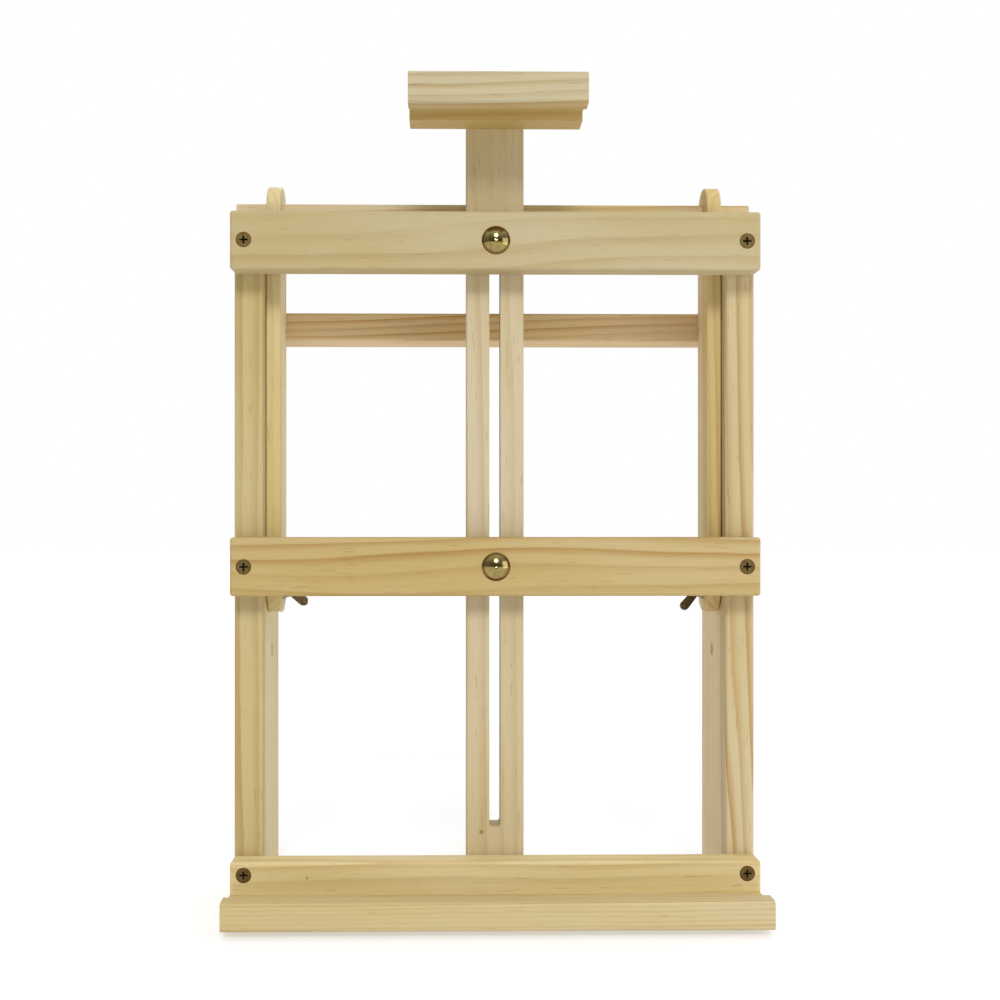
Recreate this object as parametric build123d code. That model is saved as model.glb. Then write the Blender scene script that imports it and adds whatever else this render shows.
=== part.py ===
from build123d import *
import os

# Tabletop H-frame easel in pine, folded and standing upright.
# X runs to the right, +Y to the back, +Z up. The canvas leans on the front faces of the rails.
# The origin is the middle of the footprint, on the table.

# Driving dimensions, in millimetres.
frame_width = 307.0
stock = 17.0                # thickness of the boards and rails
rail_height = 34.0
side_depth = 72.0           # front-to-back depth of a side board
side_height = 401.0
bottom_rail_z = 17.0        # heights of the rail centre lines
middle_rail_z = 204.3
top_rail_z = 392.8
corner = 1.8                # rounding of the planed edges
small_corner = 1.2          # rounding of the thinner pieces
slide_gap = 0.3             # play between pieces that move past each other

reach = 33.4                # how far the ledge and the clamp stand out from the rails
groove_width = 20.0         # room for the canvas edge
groove_depth = 5.0
lip_rounding = 2.4          # front edges of the ledge and the clamp
ledge_low_z = 4.0
ledge_height = 16.3
clamp_width = 100.0
clamp_low_z = 462.0
clamp_height = 17.6

mast_width = 34.0
mast_low_z = 6.0
mast_high_z = 478.0
slot_width = 6.5
slot_low_z = 50.2
slot_high_z = 396.3
slot_corner = 1.5

leg_thickness = 8.6
leg_width = 29.5
leg_rounding = 1.0
leg_front = 27.0            # from the rails' front faces back to the legs
pivot_z = 190.1
leg_tip_z = 418.2           # centre of the legs' round top ends
foot_bar_width = 312.0
foot_bar_height = 15.0
foot_bar_low_z = 407.4
foot_bar_inset = 12.0       # wood left in front of the foot bar's notch
foot_bar_rounding = 1.5
brace_low_z = 342.3

spare_hole_z = 151.1        # second pair of pivot holes, lower and further back
spare_hole_back = 40.0
spare_hole_rim = 9.5

bolt_d = 6.0
pivot_hole_d = 6.1
bolt_head_d = 16.5
bolt_head_height = 3.6
neck_size = 6.4             # square neck under a carriage bolt's head
neck_length = 4.0
sunk_head_d = 12.0
sunk_head_height = 3.3
driver_slot = (9.0, 1.4, 2.8)   # length, width and twice the depth of the slot in a sunk head
thread_chamfer = 0.7
washer_d = 14.0
washer_t = 1.2
nut_height = 7.0
nut_base_d = 12.0
nut_top_d = 9.6
wing_t = 2.6
wing_radius = 14.0
wing_length = 12.6
ear_end = 2.8               # radius of a wing's rounded end
ear_foot = (0.6, 5.6)       # where a wing grows out of the nut
ear_foot_sunk = 0.8
ear_foot_rise = 0.2
bolt_end = 3.0              # thread left showing past a wing nut

screw_d = 3.6
screw_head_d = 9.0
screw_head_height = 2.7
screw_tip = 4.0
screw_tip_radius = 0.4
cross_length = 4.8          # the cross recess in a screw's head
cross_width = 1.1
cross_depth = 2.2
cross_taper = 18.0
screw_inset = 8.0           # from a rail's end to its screw
frame_screw_length = 45.0
ledge_screw_length = 35.0
clamp_screw_length = 40.0
foot_screw_length = 27.0
brace_screw_length = 55.0
bottom_screw_z = 26.7       # clear of the ledge
ledge_screw_z = 10.0
ledge_screw_spread = 115.0
clamp_screw_spread = 9.5
clamp_screw_rise = 9.5      # above the clamp's lower face
upper_nut_turn = 20.0       # how each wing nut happens to stand, in degrees
lower_nut_turn = -15.0
left_nut_turn = 40.0
right_nut_turn = 14.0

# Places that follow from them.
face_y = (reach - stock - side_depth) / 2
back_y = face_y + stock + side_depth
half_width = frame_width / 2
inner_x = half_width - stock
leg_y = face_y + leg_front + leg_width / 2
leg_back_y = face_y + leg_front + leg_width
leg_x = inner_x - slide_gap - leg_thickness / 2
mast_front_y = face_y + stock + slide_gap
mast_back_y = mast_front_y + stock
board_y = face_y + stock + side_depth / 2
mast_washer_distance = 2 * stock + 2 * slide_gap
leg_washer_distance = stock + leg_thickness + 2 * slide_gap

standing = (Align.CENTER, Align.CENTER, Align.MIN)
hanging = (Align.CENTER, Align.CENTER, Align.MAX)


def bar(size_x, size_y, size_z, x, y, z, rounding=corner):
    """A planed bar with eased edges, centred on a point."""
    block = Box(size_x, size_y, size_z)
    return Pos(x, y, z) * fillet(block.edges(), rounding)


def facing_back():
    """Turns a fastener made along +Z so that it runs from the front to the back."""
    return Rot(-90, 0, 0)


def facing_front():
    return Rot(90, 0, 0)


def screw_body(length):
    """A countersunk wood screw: its flat head is at z = 0 and it points along +Z."""
    head = Cone(screw_head_d / 2, screw_d / 2, screw_head_height, align=standing)
    shank_length = length - screw_tip
    shank = Cylinder(screw_d / 2, shank_length, align=standing)
    point = Cone(screw_d / 2, screw_tip_radius, screw_tip, align=standing)
    return head + shank + Pos(0, 0, shank_length) * point


def cross_recess():
    """The tapered cross in a screw's head."""
    blade = extrude(Rectangle(cross_length, cross_width), cross_depth, taper=cross_taper)
    return blade + Rot(0, 0, 90) * blade


def screw(length):
    return screw_body(length) - cross_recess()


def frame_screw_places():
    x = half_width - screw_inset
    return [Pos(side * x, face_y, z) * facing_back()
            for z in (bottom_screw_z, middle_rail_z, top_rail_z)
            for side in (-1, 1)]


def ledge_screw_places():
    back_of_rail = face_y + stock
    return [Pos(x, back_of_rail, ledge_screw_z) * facing_front()
            for x in (-ledge_screw_spread, 0, ledge_screw_spread)]


def clamp_screw_places():
    z = clamp_low_z + clamp_screw_rise
    return [Pos(side * clamp_screw_spread, mast_back_y, z) * facing_front() for side in (-1, 1)]


def foot_screw_places():
    z = foot_bar_low_z + foot_bar_height / 2
    return [Pos(side * leg_x, leg_back_y, z) * facing_front() for side in (-1, 1)]


def brace_screw_places():
    z = brace_low_z + stock / 2
    return [Pos(side * leg_x, back_y, z) * facing_front() for side in (-1, 1)]


def cut_screws(piece, places, length):
    for place in places:
        piece -= place * screw_body(length)
    return piece


def screws(places, length):
    return Compound(children=[place * screw(length) for place in places])


def mast_bolt_body():
    """A carriage bolt: domed head in front of z = 0, square neck, round shank along +Z."""
    half = bolt_head_d / 2
    dome_radius = (half ** 2 + bolt_head_height ** 2) / (2 * bolt_head_height)
    dome = Pos(0, 0, dome_radius - bolt_head_height) * Sphere(dome_radius)
    cap = Cylinder(half, bolt_head_height, align=hanging)
    neck = Box(neck_size, neck_size, neck_length, align=standing)
    length = mast_washer_distance + washer_t + nut_height + bolt_end
    return (dome & cap) + neck + threaded_shank(length)


def threaded_shank(length):
    """A round shank with a chamfered end."""
    shank = Cylinder(bolt_d / 2, length, align=standing)
    return chamfer(shank.edges().sort_by(Axis.Z)[-1], thread_chamfer)


def pivot_bolt_body():
    """A bolt with a flat sunk head: its head is at z = 0 and it points along +Z."""
    head = Cone(sunk_head_d / 2, bolt_d / 2, sunk_head_height, align=standing)
    return head + threaded_shank(leg_washer_distance + washer_t + nut_height + bolt_end)


def pivot_bolt():
    return pivot_bolt_body() - Box(*driver_slot)


def washer():
    ring = Cylinder(washer_d / 2, washer_t, align=standing)
    return ring - Cylinder(bolt_d / 2, 4 * washer_t)


def wing_nut():
    """A wing nut that stands on z = 0, with its ears flaring out along X and up."""
    base = Cone(nut_base_d / 2, nut_top_d / 2, nut_height, align=standing)
    tip = Pos(wing_radius - ear_end, wing_length - ear_end) * Circle(ear_end)
    foot = Pos(nut_top_d / 2 - ear_foot_sunk, nut_height / 2 + ear_foot_rise) * Rectangle(*ear_foot)
    outline = make_hull((tip + foot).edges())
    ear = extrude(Plane.XZ * outline, wing_t / 2, both=True)
    body = base + ear + Rot(0, 0, 180) * ear
    return body - Cylinder(pivot_hole_d / 2, 4 * nut_height)


def mast_bolt_places():
    return [Pos(0, face_y, z) * facing_back() for z in (middle_rail_z, top_rail_z)]


def leg_bolt_place(side):
    """The pivot of one leg, from the side board's outer face inwards."""
    return Pos(side * half_width, leg_y, pivot_z) * Rot(0, -90 * side, 0)


def leg_hardware_place(side, distance):
    return leg_bolt_place(side) * Pos(0, 0, distance)


def side_board(side):
    x = side * (half_width - stock / 2)
    board = bar(stock, side_depth, side_height, x, board_y, side_height / 2)
    board = cut_screws(board, frame_screw_places(), frame_screw_length)
    board -= leg_bolt_place(side) * pivot_bolt_body()
    through = Cylinder(pivot_hole_d / 2, 2 * stock)
    rim_depth = (spare_hole_rim - pivot_hole_d) / 2
    rim = Cone(pivot_hole_d / 2, spare_hole_rim / 2, rim_depth, align=hanging)
    hole = through + Pos(0, 0, stock / 2) * rim
    y = face_y + stock + spare_hole_back
    return board - Pos(x, y, spare_hole_z) * Rot(0, -90 * side, 0) * hole


def rail(z):
    """A front rail with the countersunk holes for its two screws."""
    beam = bar(frame_width, stock, rail_height, 0, face_y + stock / 2, z)
    return cut_screws(beam, frame_screw_places(), frame_screw_length)


def clamp_rail(z):
    """A rail that also carries a carriage bolt for the mast."""
    beam = rail(z)
    for place in mast_bolt_places():
        beam -= place * mast_bolt_body()
    return beam


def bottom_rail():
    return cut_screws(rail(bottom_rail_z), ledge_screw_places(), ledge_screw_length)


def grooved_bar(width, back, height):
    """A bar along X with a canvas groove in its top, and its groove's back wall at y = 0."""
    lip = reach - groove_width
    front = Pos(-reach + lip / 2, height / 2) * Rectangle(lip, height)
    floor_height = height - groove_depth
    floor = Pos((back - reach) / 2, floor_height / 2) * Rectangle(reach + back, floor_height)
    section = front + floor
    if back > 0:
        section += Pos(back / 2, height / 2) * Rectangle(back, height)
    beam = extrude(Plane.YZ * section, width / 2, both=True)
    front_edges = beam.edges().filter_by(Axis.X).group_by(Axis.Y)[0]
    eased = fillet(front_edges, lip_rounding)
    lip_back = eased.edges().filter_by(Axis.X).filter_by(
        lambda e: abs(e.center().Y + groove_width) < 0.01 and abs(e.center().Z - height) < 0.01)
    return fillet(lip_back, small_corner)


def canvas_ledge():
    ledge = Pos(0, face_y, ledge_low_z) * grooved_bar(frame_width, 0, ledge_height)
    return cut_screws(ledge, ledge_screw_places(), ledge_screw_length)


def top_clamp():
    """The same section as the ledge, turned over, with a back that meets the mast."""
    back = stock + slide_gap
    block = Rot(0, 180, 0) * grooved_bar(clamp_width, back, clamp_height)
    block = Pos(0, face_y, clamp_low_z + clamp_height) * block
    return cut_screws(block, clamp_screw_places(), clamp_screw_length)


def mast():
    height = mast_high_z - mast_low_z
    y = mast_front_y + stock / 2
    post = bar(mast_width, stock, height, 0, y, mast_low_z + height / 2, small_corner)
    slot_height = slot_high_z - slot_low_z
    slot = fillet(Box(slot_width, 2 * stock, slot_height).edges().filter_by(Axis.Y), slot_corner)
    post -= Pos(0, y, slot_low_z + slot_height / 2) * slot
    return cut_screws(post, clamp_screw_places(), clamp_screw_length)


def leg(side):
    """A flat leg with round ends, notched at the back of its tip for the foot bar."""
    length = leg_tip_z - pivot_z
    outline = SlotCenterToCenter(length, leg_width, rotation=90)
    flat = extrude(Plane.YZ * outline, leg_thickness / 2, both=True)
    rims = flat.edges().filter_by(lambda e: abs(abs(e.center().X) - leg_thickness / 2) < 0.01)
    flat = fillet(rims, leg_rounding)
    flat = Pos(side * leg_x, leg_y, pivot_z + length / 2) * flat
    notch_depth = leg_width - foot_bar_inset
    notch = Box(2 * leg_thickness, notch_depth, foot_bar_height, align=(Align.CENTER, Align.MAX, Align.MIN))
    flat -= Pos(side * leg_x, leg_back_y, foot_bar_low_z) * notch
    flat -= Pos(side * leg_x, leg_y, pivot_z) * Rot(0, 90, 0) * Cylinder(pivot_hole_d / 2, 2 * leg_thickness)
    flat = cut_screws(flat, foot_screw_places(), foot_screw_length)
    return cut_screws(flat, brace_screw_places(), brace_screw_length)


def foot_bar():
    depth = leg_width - foot_bar_inset
    z = foot_bar_low_z + foot_bar_height / 2
    block = Box(foot_bar_width, depth, foot_bar_height)
    # Only the free ends are eased, so that the bar stays tight in the legs' notches.
    end_edges = block.edges().filter_by(lambda e: abs(e.center().X) > foot_bar_width / 2 - 1)
    block = fillet(end_edges, foot_bar_rounding)
    beam = Pos(0, leg_back_y - depth / 2, z) * block
    return cut_screws(beam, foot_screw_places(), foot_screw_length)


def leg_brace():
    width = 2 * (inner_x - 2 * slide_gap)
    depth = back_y - leg_back_y
    z = brace_low_z + stock / 2
    beam = bar(width, depth, stock, 0, leg_back_y + depth / 2, z, small_corner)
    return cut_screws(beam, brace_screw_places(), brace_screw_length)


def mast_bolts():
    return Compound(children=[place * mast_bolt_body() for place in mast_bolt_places()])


def mast_washers():
    behind_mast = Pos(0, 0, mast_washer_distance)
    return Compound(children=[place * behind_mast * washer() for place in mast_bolt_places()])


def mast_wing_nut(place, turn):
    return place * Pos(0, 0, mast_washer_distance + washer_t) * Rot(0, 0, turn) * wing_nut()


def leg_bolts():
    return Compound(children=[leg_bolt_place(side) * pivot_bolt() for side in (-1, 1)])


def leg_washers():
    return Compound(children=[leg_hardware_place(side, leg_washer_distance) * washer() for side in (-1, 1)])


def leg_wing_nut(side, turn):
    return leg_hardware_place(side, leg_washer_distance + washer_t) * Rot(0, 0, turn) * wing_nut()


lower_bolt, upper_bolt = mast_bolt_places()
nodes = {
    "side_board_left": side_board(-1),
    "side_board_right": side_board(1),
    "top_rail": clamp_rail(top_rail_z),
    "middle_rail": clamp_rail(middle_rail_z),
    "bottom_rail": bottom_rail(),
    "canvas_ledge": canvas_ledge(),
    "mast": mast(),
    "top_clamp": top_clamp(),
    "leg_left": leg(-1),
    "leg_right": leg(1),
    "foot_bar": foot_bar(),
    "leg_brace": leg_brace(),
    "frame_screws": screws(frame_screw_places(), frame_screw_length),
    "ledge_screws": screws(ledge_screw_places(), ledge_screw_length),
    "clamp_screws": screws(clamp_screw_places(), clamp_screw_length),
    "foot_bar_screws": screws(foot_screw_places(), foot_screw_length),
    "brace_screws": screws(brace_screw_places(), brace_screw_length),
    "mast_bolts": mast_bolts(),
    "mast_washers": mast_washers(),
    "mast_wing_nut_upper": mast_wing_nut(upper_bolt, upper_nut_turn),
    "mast_wing_nut_lower": mast_wing_nut(lower_bolt, lower_nut_turn),
    "leg_bolts": leg_bolts(),
    "leg_washers": leg_washers(),
    "leg_wing_nut_left": leg_wing_nut(-1, left_nut_turn),
    "leg_wing_nut_right": leg_wing_nut(1, right_nut_turn),
}

os.makedirs("parts", exist_ok=True)
for name, shape in nodes.items():
    export_step(shape, f"parts/{name}.step")
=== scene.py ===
"""Looks for the pine tabletop easel: bare planed pine with real growth rings, and bronze and zinc hardware.

Everything is in metres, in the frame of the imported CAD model: +X right, -Y front, +Z up.
"""

import math

import bpy
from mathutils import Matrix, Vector


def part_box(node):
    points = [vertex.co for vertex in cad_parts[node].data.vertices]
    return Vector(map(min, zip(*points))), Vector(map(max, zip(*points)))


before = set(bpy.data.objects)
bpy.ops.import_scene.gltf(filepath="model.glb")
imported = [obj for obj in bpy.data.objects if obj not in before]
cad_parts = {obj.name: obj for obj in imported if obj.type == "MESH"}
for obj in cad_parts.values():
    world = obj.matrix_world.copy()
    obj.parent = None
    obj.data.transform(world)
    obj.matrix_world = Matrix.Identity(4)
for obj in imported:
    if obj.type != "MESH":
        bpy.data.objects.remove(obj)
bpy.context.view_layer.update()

MM = 0.001


# ---------------------------------------------------------------- node helpers

class Tree:
    """A short way to write shader nodes."""

    def __init__(self, tree):
        self.tree = tree

    def node(self, kind, **settings):
        made = self.tree.nodes.new(kind)
        for name, value in settings.items():
            setattr(made, name, value)
        return made

    def feed(self, socket, value):
        if isinstance(value, bpy.types.NodeSocket):
            self.tree.links.new(value, socket)
        else:
            socket.default_value = value

    def math(self, operation, a, b=0.0, c=0.0, clamp=False):
        made = self.node("ShaderNodeMath", operation=operation, use_clamp=clamp)
        for socket, value in zip(made.inputs, (a, b, c)):
            self.feed(socket, value)
        return made.outputs[0]

    def vector_math(self, operation, a, b=(0.0, 0.0, 0.0)):
        made = self.node("ShaderNodeVectorMath", operation=operation)
        self.feed(made.inputs[0], a)
        self.feed(made.inputs[1], b)
        return made.outputs["Value" if operation == "LENGTH" else "Vector"]

    def noise(self, vector, scale=1.0, detail=2.0, roughness=0.5):
        made = self.node("ShaderNodeTexNoise")
        self.feed(made.inputs["Vector"], vector)
        made.inputs["Scale"].default_value = scale
        made.inputs["Detail"].default_value = detail
        made.inputs["Roughness"].default_value = roughness
        return made.outputs["Fac"]

    def ramp(self, value, *stops):
        """stops are (position, grey) pairs."""
        made = self.node("ShaderNodeValToRGB")
        self.feed(made.inputs[0], value)
        elements = made.color_ramp.elements
        while len(elements) < len(stops):
            elements.new(0.5)
        for element, (position, grey) in zip(elements, stops):
            element.position = position
            element.color = (grey, grey, grey, 1.0)
        return made.outputs["Color"]

    def mix(self, factor, a, b, blend_type="MIX"):
        made = self.node("ShaderNodeMix", data_type="RGBA", blend_type=blend_type)
        self.feed(made.inputs["Factor"], factor)
        self.feed(made.inputs["A"], a)
        self.feed(made.inputs["B"], b)
        return made.outputs["Result"]


def srgb(red, green, blue):
    """A colour in linear light from the usual 0 to 255 numbers."""
    def linear(value):
        value /= 255
        return value / 12.92 if value <= 0.04045 else ((value + 0.055) / 1.055) ** 2.4
    return (linear(red), linear(green), linear(blue), 1.0)


def new_material(name):
    material = bpy.data.materials.new(name)
    material.use_nodes = True
    tree = Tree(material.node_tree)
    shader = material.node_tree.nodes["Principled BSDF"]
    return material, tree, shader


def add_bump(tree, shader, height, strength, depth):
    bump = tree.node("ShaderNodeBump")
    bump.inputs["Strength"].default_value = strength
    bump.inputs["Distance"].default_value = depth
    tree.feed(bump.inputs["Height"], height)
    tree.feed(shader.inputs["Normal"], bump.outputs["Normal"])


# ---------------------------------------------------------------- pine

KNOT = srgb(122, 82, 46)
PALE = (1.06, 1.09, 1.24)           # how a board's paler streaks differ from its own tone
WARM = (0.94, 0.90, 0.76)           # and its warmer streaks
SUMMER = (0.73, 0.56, 0.32)         # and its dark summer wood

# Noise that runs with the grain: its scale across the grain and along it, per metre.
BEND = (22.0, 3.2)                  # slow bends of the rings
RIPPLE = (90.0, 14.0)               # small ripples on them
PATCH = (30.0, 5.0)                 # patches of stronger and weaker rings
MOTTLE = (14.0, 3.5)                # paler and warmer streaks
FIBRE = (1500.0, 24.0)
CANAL = (900.0, 75.0)               # resin canals

SEED_STEP = (0.731, 0.419, 0.577)   # how far one unit of seed moves a board's noise
RIPPLE_DEPTH = 1.3 * MM
SAP_EDGE = 5.0 * MM                 # width of the change from heartwood to sapwood
RING_PROFILE = ((0.0, 0.12), (0.10, 0.02), (0.45, 0.08), (0.84, 0.85), (0.93, 1.0), (1.0, 0.12))
MOTTLE_STOPS = ((0.34, 0.0), (0.66, 1.0))
PATCH_STOPS = ((0.30, 0.40), (0.62, 1.0))
CANAL_STOPS = ((0.66, 0.0), (0.74, 1.0))
FIBRE_STOPS = ((0.25, 0.91), (0.75, 1.0))
KNOT_STOPS = ((0.0, 1.0), (0.60, 0.80), (0.95, 0.0))
YEAR_LEAST = 0.35                   # strength of a year's ring in its poorest year
YEAR_SPREAD = 0.75
CANAL_TINT = 0.22
KNOT_TINT = 0.7
WOOD_ROUGHNESS = 0.60
WOOD_SPECULAR = 0.32
WOOD_BUMP = 0.35
WOOD_BUMP_DEPTH = 0.12 * MM


def tinted(colour, tint):
    """A colour times a tint, no channel above 1."""
    return tuple(min(1.0, c * t) for c, t in zip(colour[:3], tint)) + (1.0,)


def stretched(tree, place, along, scales):
    """Coordinates squeezed across the grain, so that noise on them runs with it."""
    across, with_grain = scales
    scale = [across, across, across]
    scale["xyz".index(along)] = with_grain
    return tree.vector_math("MULTIPLY", place, tuple(scale))


def distance_from_pith(tree, place, along, pith, tilt):
    """How far a point is from the log's straight centre line."""
    turn = tree.node("ShaderNodeMapping", vector_type="POINT")
    tree.feed(turn.inputs["Vector"], tree.vector_math("SUBTRACT", place, tuple(MM * v for v in pith)))
    turn.inputs["Rotation"].default_value = tuple(math.radians(v) for v in tilt)
    across = [1.0, 1.0, 1.0]
    across["xyz".index(along)] = 0.0
    return tree.vector_math("LENGTH", tree.vector_math("MULTIPLY", turn.outputs["Vector"], tuple(across)))


def pine(name, along, pith, tone, tilt, spacing, contrast, wander, seed,
         sapwood=None, sap_radius=0.0, knots=()):
    """Pine cut from a log whose centre runs along one axis through the point pith, in millimetres.

    The rings are true rings about that centre, so faces, edges and end grain agree. tilt, in degrees,
    leans the log against the board and so gives long arches. spacing is a year's ring and wander how
    far the rings bend, both in millimetres, and contrast is how dark the summer wood is. tone is the
    board's own colour, and on the bottom rail it is also made paler with painted light. Beyond sap_radius
    the wood is the colour sapwood. knots are (x, y, z, radius) in millimetres.
    """
    material, tree, shader = new_material(name)
    place = tree.node("ShaderNodeTexCoord").outputs["Object"]
    shifted = tree.vector_math("ADD", place, tuple(seed * step for step in SEED_STEP))

    # Distance from the log's centre, bent by slow noise and rippled by faster noise.
    straight = distance_from_pith(tree, place, along, pith, tilt)
    slow = tree.noise(stretched(tree, shifted, along, BEND), detail=1.0)
    bend = tree.math("MULTIPLY", tree.math("SUBTRACT", slow, 0.5), 2 * wander * MM)
    wave = tree.noise(stretched(tree, shifted, along, RIPPLE), detail=2.0)
    ripple = tree.math("MULTIPLY", tree.math("SUBTRACT", wave, 0.5), RIPPLE_DEPTH)
    radius = tree.math("ADD", tree.math("ADD", straight, bend), ripple)
    knot_shade = None
    for x, y, z, size in knots:
        # The rings part around a knot, and its middle is dark.
        offset = tree.vector_math("SUBTRACT", place, (MM * x, MM * y, MM * z))
        away = tree.vector_math("LENGTH", offset)
        push = tree.math("DIVIDE", 0.5 * (size * MM) ** 2, tree.math("ADD", away, 0.4 * size * MM))
        radius = tree.math("ADD", radius, push)
        near = tree.math("DIVIDE", away, size * MM)
        spot = tree.ramp(near, *KNOT_STOPS)
        knot_shade = spot if knot_shade is None else tree.math("MAXIMUM", knot_shade, spot)

    # One ring: slow darkening through the summer, then a sharp edge. Its strength varies from year to year.
    years = tree.math("DIVIDE", radius, spacing * MM)
    ring = tree.math("FRACT", years)
    late = tree.ramp(ring, *RING_PROFILE)
    year = tree.node("ShaderNodeTexWhiteNoise", noise_dimensions="1D")
    tree.feed(year.inputs["W"], tree.math("FLOOR", years))
    weather = tree.math("MULTIPLY_ADD", year.outputs["Value"], YEAR_SPREAD, YEAR_LEAST)
    patch = tree.noise(stretched(tree, shifted, along, PATCH), detail=1.0)
    strength = tree.math("MULTIPLY", tree.ramp(patch, *PATCH_STOPS), contrast)
    strength = tree.math("MULTIPLY", strength, weather, clamp=True)

    # Fine fibres and short resin canals.
    fibre = tree.noise(stretched(tree, shifted, along, FIBRE), detail=3.0, roughness=0.6)
    canal = tree.noise(stretched(tree, shifted, along, CANAL), detail=1.0)
    flecks = tree.ramp(canal, *CANAL_STOPS)

    # The board's own colour, in paler and warmer streaks, with sapwood on the outside of the log.
    mottle = tree.noise(stretched(tree, shifted, along, MOTTLE), detail=3.0)
    streaks = tree.ramp(mottle, *MOTTLE_STOPS)
    body = tree.mix(streaks, tinted(tone, PALE), tinted(tone, WARM))
    if sapwood is not None:
        outer = tree.math("SUBTRACT", radius, sap_radius * MM)
        outer = tree.math("MULTIPLY_ADD", outer, 1 / SAP_EDGE, 0.5, clamp=True)
        pale = tree.mix(streaks, tinted(sapwood, PALE), sapwood)
        body = tree.mix(outer, body, pale)
    summer = tree.mix(1.0, body, SUMMER + (1.0,), "MULTIPLY")
    colour = tree.mix(tree.math("MULTIPLY", late, strength), body, summer)
    colour = tree.mix(tree.math("MULTIPLY", flecks, CANAL_TINT), colour, KNOT)
    colour = tree.mix(1.0, colour, tree.ramp(fibre, *FIBRE_STOPS), "MULTIPLY")
    if knot_shade is not None:
        colour = tree.mix(tree.math("MULTIPLY", knot_shade, KNOT_TINT), colour, KNOT)
    tree.feed(shader.inputs["Base Color"], colour)

    # Summer wood is a little smoother, and stands up a little from the softer spring wood.
    rough = tree.math("MULTIPLY_ADD", late, -0.07, WOOD_ROUGHNESS)
    rough = tree.math("MULTIPLY_ADD", fibre, 0.10, rough)
    tree.feed(shader.inputs["Roughness"], rough)
    shader.inputs["Specular IOR Level"].default_value = WOOD_SPECULAR
    height = tree.math("ADD", tree.math("MULTIPLY", fibre, 0.5), tree.math("MULTIPLY", late, 0.35))
    height = tree.math("SUBTRACT", height, tree.math("MULTIPLY", flecks, 0.5))
    add_bump(tree, shader, height, WOOD_BUMP, WOOD_BUMP_DEPTH)
    return material


# Each board is cut from its own place in its own log.
BOARDS = {
    "top_rail": dict(along="x", pith=(0, 30, 350), tilt=(0, 1.3, 0), spacing=6.5, contrast=0.62,
                     wander=9, seed=1.0, tone=srgb(191, 176, 136)),
    "middle_rail": dict(along="x", pith=(0, 18, 132), tilt=(0, 0.5, 0), spacing=6.4, contrast=1.0,
                        wander=11, seed=2.6, tone=srgb(193, 171, 119)),
    # Painted light: the bottom rail's tone is paler than its wood, standing in for the light bounced onto
    # it from the ledge in front.
    "bottom_rail": dict(along="x", pith=(0, 50, -50), tilt=(0, 1.2, 0), spacing=7.0, contrast=0.55,
                        wander=9, seed=3.3, tone=srgb(214, 195, 141), knots=((-109, -27.8, 25.0, 1.0),)),
    "canvas_ledge": dict(along="x", pith=(0, -10, 90), tilt=(0, 0.3, 0), spacing=2.3, contrast=1.0,
                         wander=3, seed=4.1, tone=srgb(201, 183, 136)),
    "top_clamp": dict(along="x", pith=(0, -30, 400), tilt=(0, 0.8, 0), spacing=5.0, contrast=1.0,
                      wander=5, seed=5.7, tone=srgb(196, 171, 116),
                      sapwood=srgb(193, 180, 143), sap_radius=68),
    "mast": dict(along="z", pith=(-60, 20, 0), tilt=(0.3, 0.8, 0), spacing=9.0, contrast=0.40,
                 wander=7, seed=6.2, tone=srgb(197, 180, 140), knots=((-8, -10.5, 47, 1.6),)),
    "side_board_left": dict(along="z", pith=(-185, -70, 0), tilt=(0.5, 0.7, 0), spacing=5.0, contrast=0.85,
                            wander=7, seed=7.4, tone=srgb(192, 173, 120),
                            sapwood=srgb(218, 201, 152), sap_radius=84),
    "side_board_right": dict(along="z", pith=(190, -66, 0), tilt=(0.5, 2.2, 0), spacing=4.6, contrast=0.95,
                             wander=8, seed=8.9, tone=srgb(200, 182, 139),
                             sapwood=srgb(218, 197, 149), sap_radius=86),
    "leg_left": dict(along="z", pith=(-160, -30, 0), tilt=(0.4, 0.9, 0), spacing=3.6, contrast=0.80,
                     wander=5, seed=9.5, tone=srgb(212, 194, 141),
                     sapwood=srgb(228, 214, 170), sap_radius=50),
    "leg_right": dict(along="z", pith=(160, -30, 0), tilt=(0.6, 1.0, 0), spacing=3.8, contrast=0.80,
                      wander=5, seed=10.8, tone=srgb(209, 186, 128),
                      sapwood=srgb(224, 204, 158), sap_radius=50),
    "foot_bar": dict(along="x", pith=(0, 60, 370), tilt=(0, 0.9, 0), spacing=4.4, contrast=0.75,
                     wander=5, seed=11.1, tone=srgb(211, 192, 146)),
    "leg_brace": dict(along="x", pith=(0, 30, 285), tilt=(0, 1.2, 0), spacing=4.6, contrast=1.0,
                      wander=6, seed=12.6, tone=srgb(217, 188, 136)),
}


# ---------------------------------------------------------------- metals

# Heads that face the front: x, z and radius in millimetres, and the heights of the rails they are in.
BOTTOM_SCREW_Z = 26.7
MIDDLE_RAIL_Z = 204.3
TOP_RAIL_Z = 392.8
SCREW_X = 145.5
SCREW_RADIUS = 4.5
BOLT_RADIUS = 8.25
BOLT_HEADS = tuple((0.0, z, BOLT_RADIUS) for z in (TOP_RAIL_Z, MIDDLE_RAIL_Z))
SCREW_HEADS = tuple((side * SCREW_X, z, SCREW_RADIUS)
                    for z in (BOTTOM_SCREW_Z, MIDDLE_RAIL_Z, TOP_RAIL_Z) for side in (-1, 1))
# Painted reflection: the brown painted round the rim of each head, in place of what its curved edge
# reflects.
RIM_PAINTED_REFLECTION = srgb(112, 84, 44)
RIM_STOPS = ((0.0, 0.0), (0.74, 0.0), (0.92, 1.0), (1.0, 1.0))
RIM_END = 1.05                      # the painted rim reflection ends just past the edge of the head
CLOUD_STOPS = ((0.36, 0.0), (0.66, 1.0))
METAL_BUMP = 0.25
METAL_BUMP_DEPTH = 0.05 * MM


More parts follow.
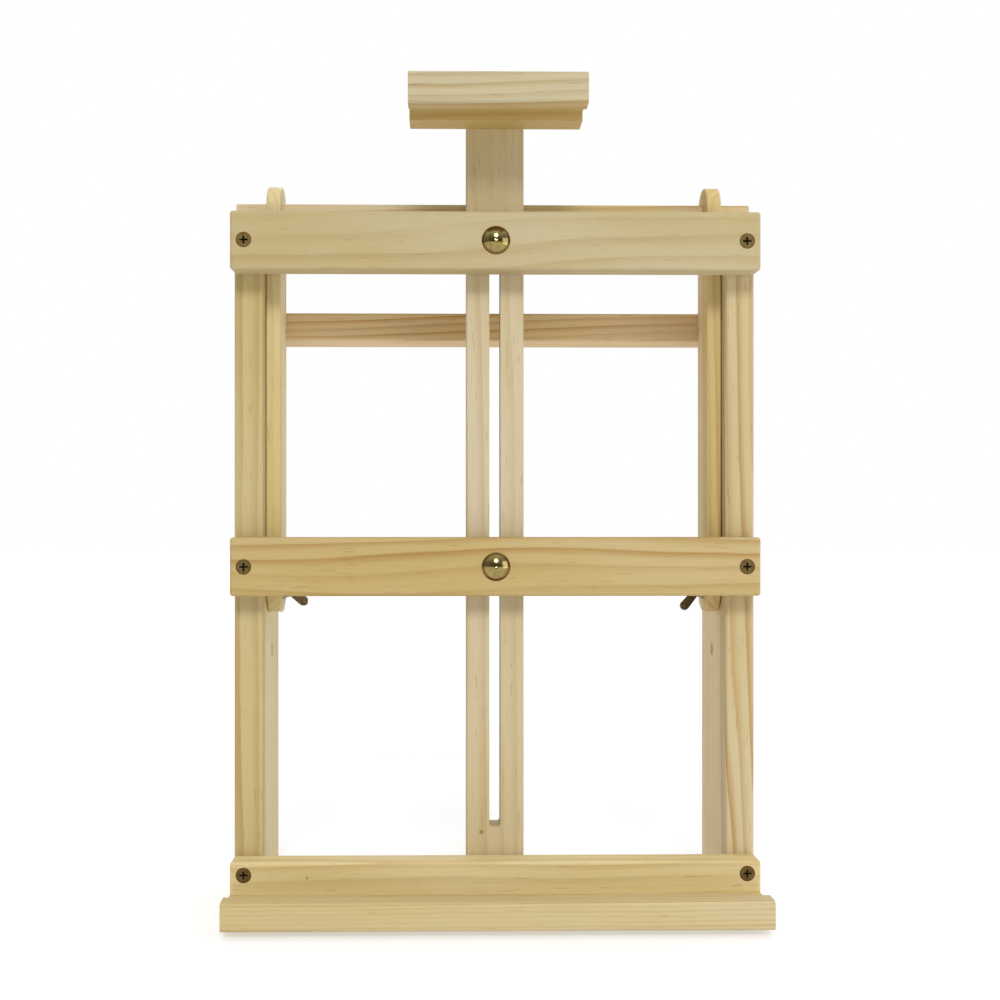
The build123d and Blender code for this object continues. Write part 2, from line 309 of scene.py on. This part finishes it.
def metal(name, colour, worn, roughness, scratch, cloudiness=0.18, heads=()):
    """Plated metal with cloudy tarnish and fine scratches. Heads get a painted brown rim that stands in for
    the reflection at their curved edge.
    """
    material, tree, shader = new_material(name)
    place = tree.node("ShaderNodeTexCoord").outputs["Object"]
    cloud = tree.noise(place, scale=420.0, detail=4.0, roughness=0.6)
    fine = tree.noise(place, scale=2600.0, detail=2.0)
    plating_and_rim_reflection = tree.mix(tree.ramp(cloud, *CLOUD_STOPS), colour, worn)
    # Painted reflection: each head is painted brown towards its rim.
    for x, z, size in heads:
        offset = tree.vector_math("SUBTRACT", place, (MM * x, 0.0, MM * z))
        offset = tree.vector_math("MULTIPLY", offset, (1.0, 0.0, 1.0))
        out = tree.math("DIVIDE", tree.vector_math("LENGTH", offset), size * MM)
        rim = tree.ramp(out, *RIM_STOPS)
        on_head = tree.math("LESS_THAN", out, RIM_END)
        plating_and_rim_reflection = tree.mix(tree.math("MULTIPLY", rim, on_head), plating_and_rim_reflection, RIM_PAINTED_REFLECTION)
    tree.feed(shader.inputs["Base Color"], plating_and_rim_reflection)
    shader.inputs["Metallic"].default_value = 1.0
    rough = tree.math("MULTIPLY_ADD", cloud, cloudiness, roughness)
    tree.feed(shader.inputs["Roughness"], tree.math("MULTIPLY_ADD", fine, scratch, rough))
    add_bump(tree, shader, fine, METAL_BUMP, METAL_BUMP_DEPTH)
    return material


def paint_nodes():
    """Every CAD node gets its own board of pine, or its metal."""
    dark_bronze = metal("antique_bronze", srgb(124, 109, 70), srgb(88, 70, 40), 0.30, 0.12)
    screw_bronze = metal("rimmed_bronze", srgb(130, 114, 72), srgb(96, 78, 44), 0.30, 0.12,
                         heads=SCREW_HEADS)
    nut_bronze = metal("nut_bronze", srgb(136, 118, 92), srgb(92, 76, 56), 0.34, 0.14)
    brass = metal("olive_brass", srgb(166, 150, 96), srgb(138, 120, 70), 0.08, 0.03, cloudiness=0.08,
                  heads=BOLT_HEADS)
    zinc = metal("yellow_zinc", srgb(190, 176, 132), srgb(160, 146, 104), 0.24, 0.10)
    metals = {
        "frame_screws": screw_bronze, "ledge_screws": dark_bronze, "clamp_screws": dark_bronze,
        "foot_bar_screws": dark_bronze, "brace_screws": dark_bronze,
        "mast_bolts": brass, "mast_washers": zinc, "leg_bolts": zinc, "leg_washers": zinc,
        "mast_wing_nut_upper": nut_bronze, "mast_wing_nut_lower": nut_bronze,
        "leg_wing_nut_left": nut_bronze, "leg_wing_nut_right": nut_bronze,
    }
    for name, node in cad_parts.items():
        material = metals.get(name) or pine("pine_" + name, **BOARDS[name])
        node.data.materials.clear()
        node.data.materials.append(material)


# ---------------------------------------------------------------- stage

FLOOR_HALF = 8.0            # half the side of the table top, in metres
FLOOR_WHITE = 0.56
FLOOR_GLOW = 0.46
ROOM_FRONT = 0.07           # light from the dim side of the studio, where the camera stands
ROOM_BACK = 0.76            # and from the white sweep behind the easel
ROOM_TOP = 0.80             # and from the ceiling
KEY_ELEVATION = 36.0        # degrees above the horizon
KEY_TURN = 2.5              # degrees to the right of straight ahead
KEY_STRENGTH = 1.50
KEY_ANGLE = 18.0            # degrees across, which softens its shadows
FILL_POWER = 4.5
FILL_SIZE = 0.9
FILL_COLOUR = (0.93, 0.97, 1.0)
FILL_PLACE = (1.25, -0.75, 0.45)
FILL_TARGET = (0.0, 0.0, 0.25)

CAMERA_X = -0.0295
CAMERA_DISTANCE = 0.750     # from the front of the top rail
CAMERA_HEIGHT = 0.2342
CAMERA_YAW = -0.8           # degrees
LENS = 46.8                 # millimetres, on a sensor 36 mm wide
SENSOR = 36.0
SHIFT = (0.0369, 0.015)


def floor():
    """A white table top, bright enough to fade into the background."""
    half = FLOOR_HALF
    corners = [(-half, -half, 0), (half, -half, 0), (half, half, 0), (-half, half, 0)]
    mesh = bpy.data.meshes.new("floor")
    mesh.from_pydata(corners, [], [(0, 1, 2, 3)])
    table = bpy.data.objects.new("floor", mesh)
    bpy.context.collection.objects.link(table)
    material, tree, shader = new_material("floor_white")
    shader.inputs["Base Color"].default_value = (FLOOR_WHITE, FLOOR_WHITE, FLOOR_WHITE, 1.0)
    shader.inputs["Roughness"].default_value = 0.9
    shader.inputs["Specular IOR Level"].default_value = 0.0
    shader.inputs["Emission Color"].default_value = (1.0, 1.0, 1.0, 1.0)
    shader.inputs["Emission Strength"].default_value = FLOOR_GLOW
    mesh.materials.append(material)


def add_light(name, kind, **settings):
    data = bpy.data.lights.new(name, kind)
    for setting, value in settings.items():
        setattr(data, setting, value)
    lamp = bpy.data.objects.new(name, data)
    bpy.context.collection.objects.link(lamp)
    return lamp


def aim(lamp, place, target):
    lamp.location = place
    lamp.rotation_euler = (Vector(target) - Vector(place)).to_track_quat("-Z", "Y").to_euler()


def light_scene():
    """A soft key from the front, above the camera, a weak fill from the right, and a bright white room."""
    world = bpy.data.worlds.new("studio")
    bpy.context.scene.world = world
    world.use_nodes = True
    tree = Tree(world.node_tree)
    room = world.node_tree.nodes["Background"]
    room.inputs["Color"].default_value = (1.0, 1.0, 1.0, 1.0)
    direction = tree.node("ShaderNodeSeparateXYZ")
    tree.feed(direction.inputs[0], tree.node("ShaderNodeTexCoord").outputs["Generated"])
    to_back = tree.math("MULTIPLY_ADD", direction.outputs["Y"], 0.5, 0.5, clamp=True)
    around = tree.math("MULTIPLY_ADD", to_back, ROOM_BACK - ROOM_FRONT, ROOM_FRONT)
    upward = tree.math("POWER", tree.math("MAXIMUM", direction.outputs["Z"], 0.0), 2.0)
    tree.feed(room.inputs["Strength"], tree.math("MULTIPLY_ADD", upward, ROOM_TOP, around))
    white = tree.node("ShaderNodeBackground")
    white.inputs["Color"].default_value = (1.0, 1.0, 1.0, 1.0)
    seen = tree.node("ShaderNodeMixShader")
    tree.feed(seen.inputs[0], tree.node("ShaderNodeLightPath").outputs["Is Camera Ray"])
    tree.feed(seen.inputs[1], room.outputs[0])
    tree.feed(seen.inputs[2], white.outputs[0])
    world.node_tree.links.new(seen.outputs[0], world.node_tree.nodes["World Output"].inputs["Surface"])

    elevation = math.radians(KEY_ELEVATION)
    turn = math.radians(KEY_TURN)
    key = add_light("key", "SUN", energy=KEY_STRENGTH, angle=math.radians(KEY_ANGLE))
    toward_light = (math.sin(turn) * math.cos(elevation), -math.cos(turn) * math.cos(elevation),
                    math.sin(elevation))
    aim(key, toward_light, (0, 0, 0))
    fill = add_light("fill", "AREA", shape="SQUARE", size=FILL_SIZE, energy=FILL_POWER, color=FILL_COLOUR)
    aim(fill, FILL_PLACE, FILL_TARGET)
    bpy.context.scene.view_settings.view_transform = "Standard"


def camera():
    """A level camera in front of the easel, a little to its left."""
    rail_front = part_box("top_rail")[0].y
    data = bpy.data.cameras.new("camera")
    data.sensor_width = SENSOR
    data.lens = LENS
    data.shift_x, data.shift_y = SHIFT
    data.clip_start = 0.01
    eye = bpy.data.objects.new("camera", data)
    bpy.context.collection.objects.link(eye)
    eye.location = (CAMERA_X, rail_front - CAMERA_DISTANCE, CAMERA_HEIGHT)
    eye.rotation_euler = (math.radians(90), 0, math.radians(CAMERA_YAW))
    bpy.context.scene.camera = eye


paint_nodes()
floor()
light_scene()
camera()
